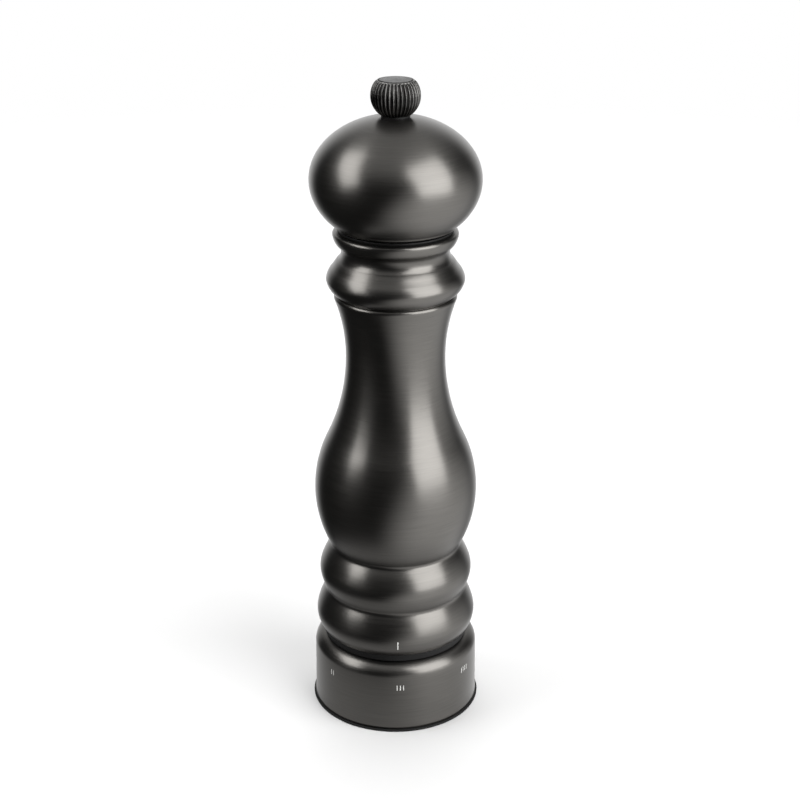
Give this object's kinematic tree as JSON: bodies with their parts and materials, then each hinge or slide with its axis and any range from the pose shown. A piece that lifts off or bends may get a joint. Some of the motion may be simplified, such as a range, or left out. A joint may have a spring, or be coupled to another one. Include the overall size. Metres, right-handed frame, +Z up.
{
  "type": "pepper mill",
  "caption": "Tall turned-profile pepper mill: the head turns a burr on a square shaft, a ring in the base sets the grind, a fluted knob holds the head.",
  "frame": {"origin": "on the axis at the underside of the foot ring", "axes": "+Z up along the mill's axis, -Y is the front, where the setting in use faces"},
  "size_m": [0.0584, 0.0584, 0.22],
  "materials": {
    "dark_steel": "dark tinted, fine circumferential brushing",
    "plain_steel": "plain",
    "burr_steel": "hardened, dull",
    "knob_metal": "dark cast and turned",
    "bearing_brass": "turned",
    "liner_plastic": "moulded",
    "black_plastic": "moulded",
    "white_plastic": "nylon",
    "foot_rubber": "soft, matt"
  },
  "bodies": {
    "barrel": {"body_shell": "dark_steel", "chamber_liner": "liner_plastic", "neck_bush": "black_plastic", "mechanism_housing": "black_plastic", "retaining_ring": "plain_steel", "click_ball": "plain_steel", "click_spring": "plain_steel", "bridge": "plain_steel", "bridge_bush": "bearing_brass", "bridge_screws": "plain_steel", "stator_spring": "plain_steel"},
    "shaft": {"drive_shaft": "plain_steel", "shaft_clips": "plain_steel", "thrust_washer": "white_plastic", "rotor": "burr_steel", "rotor_washer": "plain_steel", "rotor_nut": "plain_steel"},
    "head": {"head_shell": "dark_steel", "head_core": "liner_plastic", "drive_plate": "plain_steel", "drive_plate_screws": "plain_steel"},
    "knob_seat": {"knob_washer": "black_plastic"},
    "knob": {"knob": "knob_metal", "knob_disc": "knob_metal", "knob_insert": "bearing_brass"},
    "burr": {"stator": "burr_steel", "stator_carrier": "black_plastic"},
    "selector": {"selector_shell": "dark_steel", "selector_ring": "black_plastic", "foot_ring": "foot_rubber"}
  },
  "joints": [
    {"name": "shaft_turn", "type": "hinge", "parent": "barrel", "child": "shaft", "pos_m": [0, 0, 0.058], "axis": [0, 0, 1], "continuous": true},
    {"name": "head_lift", "type": "slide", "parent": "shaft", "child": "head", "axis": [0, 0, 1], "range_m": [0, 0.065]},
    {"name": "knob_rise", "type": "slide", "parent": "head", "child": "knob_seat", "axis": [0, 0, 1], "range_m": [0, 0.00721]},
    {"name": "knob_unscrew", "type": "hinge", "parent": "knob_seat", "child": "knob", "pos_m": [0, 0, 0.212], "axis": [0, 0, 1], "range_deg": [0, 3240]},
    {"name": "selector_turn", "type": "hinge", "parent": "barrel", "child": "selector", "pos_m": [0, 0, 0.023], "axis": [0, 0, 1], "range_deg": [-162, 108]},
    {"name": "stator_lift", "type": "slide", "parent": "barrel", "child": "burr", "axis": [0, 0, 1], "range_m": [-0.0005, 0.00075], "deforming": ["stator_spring"]}
  ],
  "couplings": [
    {"joint": "knob_rise", "follows": "knob_unscrew", "m_per_rad": 0.00012732},
    {"joint": "stator_lift", "follows": "selector_turn", "m_per_rad": -0.00026526}
  ]
}
